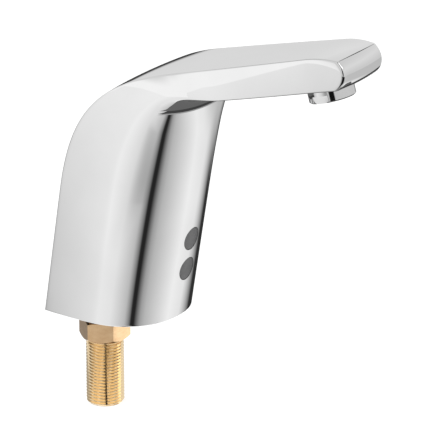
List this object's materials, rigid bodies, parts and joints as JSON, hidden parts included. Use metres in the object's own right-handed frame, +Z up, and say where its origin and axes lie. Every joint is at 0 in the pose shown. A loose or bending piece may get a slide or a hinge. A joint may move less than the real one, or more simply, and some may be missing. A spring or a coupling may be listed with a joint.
{
  "type": "sensor tap",
  "caption": "Touch-free deck tap: leaning cast column and sloping flat spout, two infrared sensor windows, solenoid valve inside, angled aerator and a threaded inlet shank.",
  "frame": {"origin": "on the inlet shank's axis, where it passes the deck, in the plane of the tap's foot", "axes": "+Z up; the spout reaches out along -Y; X is the width"},
  "size_m": [0.0698, 0.1811, 0.229],
  "materials": {
    "chrome_shell": "polished",
    "chrome_aerator": "polished",
    "shank_brass": "machined",
    "nut_brass": "machined",
    "zinc_plate": "zinc plated",
    "screw_steel": "satin",
    "tube_steel": "satin",
    "yoke_steel": "zinc plated",
    "spring_steel": "satin",
    "mesh_steel": "woven",
    "frame_steel": "brushed",
    "foot_rubber": "matte",
    "seal_rubber": "matte",
    "window_plastic": "smoked, polished",
    "valve_plastic": "moulded",
    "check_plastic": "moulded",
    "piston_plastic": "moulded",
    "bobbin_plastic": "moulded",
    "coil_enamel": "enamelled copper wire",
    "hose_plastic": "satin",
    "insert_plastic": "moulded",
    "sensor_plastic": "moulded",
    "board_green": "lacquered",
    "emitter_plastic": "clear cast",
    "receiver_plastic": "cast",
    "battery_plastic": "moulded",
    "cell_jacket": "shrink sleeve",
    "contact_brass": "plated"
  },
  "bodies": {
    "tap": {"body_shell": "chrome_shell", "base_plate": "zinc_plate", "base_gasket": "foot_rubber", "base_screws": "screw_steel", "inlet_shank": "shank_brass", "shank_locknut": "nut_brass", "shank_oring": "seal_rubber", "inlet_strainer": "mesh_steel", "check_valve_body": "check_plastic", "check_valve_spring": "spring_steel", "valve_block": "valve_plastic", "block_screws": "screw_steel", "valve_bonnet": "valve_plastic", "bonnet_seal": "seal_rubber", "bonnet_screws": "screw_steel", "armature_tube": "tube_steel", "pole_piece": "tube_steel", "plunger_spring": "spring_steel", "coil_bobbin": "bobbin_plastic", "solenoid_coil": "coil_enamel", "solenoid_yoke": "yoke_steel", "yoke_clip": "spring_steel", "outlet_hose": "hose_plastic", "hose_seals": "seal_rubber", "aerator_housing": "chrome_aerator", "aerator_insert": "insert_plastic", "aerator_screen": "mesh_steel", "aerator_gasket": "seal_rubber", "sensor_window_upper": "window_plastic", "sensor_window_lower": "window_plastic", "window_seals": "seal_rubber", "sensor_housing": "sensor_plastic", "sensor_cover": "sensor_plastic", "sensor_board": "board_green", "ir_emitter": "emitter_plastic", "ir_receiver": "receiver_plastic", "sensor_screws": "screw_steel", "module_frame": "frame_steel", "frame_screws": "screw_steel", "battery_case": "battery_plastic", "battery_screws": "screw_steel", "battery_cells": "cell_jacket", "battery_lid": "battery_plastic", "battery_contacts": "contact_brass"},
    "check_poppet": {"check_valve_poppet": "piston_plastic"},
    "main_valve": {"valve_piston": "piston_plastic", "valve_washer": "seal_rubber"},
    "solenoid_plunger": {"plunger": "tube_steel", "plunger_seal": "seal_rubber"}
  },
  "joints": [
    {"name": "plunger_slide", "type": "slide", "parent": "tap", "child": "solenoid_plunger", "axis": [0, 0, 1], "range_m": [0, 0.0018], "stiffness_N_per_m": 150, "springref_m": -0.003, "deforming": ["plunger_spring"]},
    {"name": "main_valve_lift", "type": "slide", "parent": "tap", "child": "main_valve", "axis": [0, 0, 1], "range_m": [0, 0.0015]},
    {"name": "check_poppet_slide", "type": "slide", "parent": "tap", "child": "check_poppet", "axis": [0, 0, 1], "range_m": [0, 0.0025], "stiffness_N_per_m": 60, "springref_m": -0.004, "deforming": ["check_valve_spring"]}
  ],
  "couplings": [
    {"joint": "main_valve_lift", "follows": "plunger_slide", "ratio": 0.8333}
  ]
}
